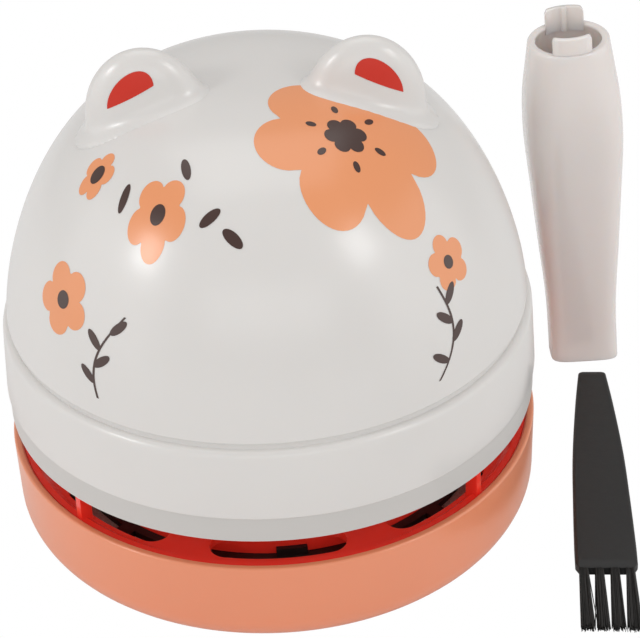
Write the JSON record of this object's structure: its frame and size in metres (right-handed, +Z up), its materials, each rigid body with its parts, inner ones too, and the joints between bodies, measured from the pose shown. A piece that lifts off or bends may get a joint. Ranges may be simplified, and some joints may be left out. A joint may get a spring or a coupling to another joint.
{
  "type": "desktop mini vacuum cleaner",
  "caption": "Round dome-shaped desktop mini vacuum cleaner with moulded ears, a slotted vent deck and dust tray, beside its crevice nozzle and cleaning brush.",
  "frame": {"origin": "centre of the suction port's mouth, in the flat underside of the base ring", "axes": "+Z up through the dome's apex, -Y to the front that the face print looks to, +X to the viewer's right, where the nozzle and the brush are"},
  "size_m": [0.1188, 0.098, 0.0959],
  "materials": {
    "coral_plastic": "glossy opaque coral moulding",
    "foot_rubber": "matt black rubber",
    "nylon_bristle": "dense black nylon bristles",
    "red_plastic": "glossy clear red tinted moulding",
    "filter_felt": "off-white pressed felt",
    "black_plastic": "fine-grained black moulding",
    "grey_plastic": "satin pale grey moulding",
    "screw_steel": "zinc-plated steel",
    "white_plastic": "polished white shell",
    "motor_steel": "drawn steel can",
    "cap_plastic": "dark grey moulding",
    "shaft_steel": "ground steel",
    "fan_plastic": "pale grey moulding",
    "cell_wrap": "blue shrink wrap",
    "board_laminate": "green solder mask",
    "socket_metal": "stamped nickel-plated steel",
    "knob_plastic": "satin pale grey moulding",
    "nozzle_plastic": "glossy warm white moulding",
    "brush_plastic": "satin charcoal moulding",
    "brush_hair": "stiff charcoal nylon bristles"
  },
  "bodies": {
    "tray": {"base_ring": "coral_plastic", "suction_collar": "coral_plastic", "rubber_feet": "foot_rubber", "inlet_bristles": "nylon_bristle", "tray_gasket": "foot_rubber"},
    "deck": {"vent_deck": "red_plastic", "filter_media": "filter_felt", "filter_frame": "black_plastic"},
    "housing": {"bottom_cover": "grey_plastic", "cover_screws": "screw_steel", "top_shell": "white_plastic", "motor_can": "motor_steel", "motor_end_cap": "cap_plastic", "motor_bracket": "cap_plastic", "bracket_screws": "screw_steel", "battery_cell": "cell_wrap", "battery_cradle": "cap_plastic", "circuit_board": "board_laminate", "charging_socket": "socket_metal", "switch_body": "black_plastic"},
    "fan": {"motor_shaft": "shaft_steel", "impeller": "fan_plastic"},
    "switch": {"switch_knob": "knob_plastic"},
    "nozzle_piece": {"nozzle": "nozzle_plastic"},
    "brush_piece": {"brush_handle": "brush_plastic", "brush_bristles": "brush_hair"}
  },
  "joints": [
    {"name": "deck_lift", "type": "slide", "parent": "tray", "child": "deck", "axis": [0, 0, 1], "range_m": [0, 0.04]},
    {"name": "housing_twist", "type": "hinge", "parent": "deck", "child": "housing", "pos_m": [0, 0, 0.0165], "axis": [0, 0, 1], "range_deg": [0, 30]},
    {"name": "impeller_spin", "type": "hinge", "parent": "housing", "child": "fan", "pos_m": [0, 0, 0.03], "axis": [0, 0, 1], "continuous": true},
    {"name": "switch_slide", "type": "slide", "parent": "housing", "child": "switch", "axis": [0, 0, 1], "range_m": [0, 0.003]},
    {"name": "nozzle_lift", "type": "slide", "parent": "tray", "child": "nozzle_piece", "axis": [0, 0, 1], "range_m": [0, 0.05]},
    {"name": "brush_lift", "type": "slide", "parent": "tray", "child": "brush_piece", "axis": [0, 0, 1], "range_m": [0, 0.05]}
  ]
}
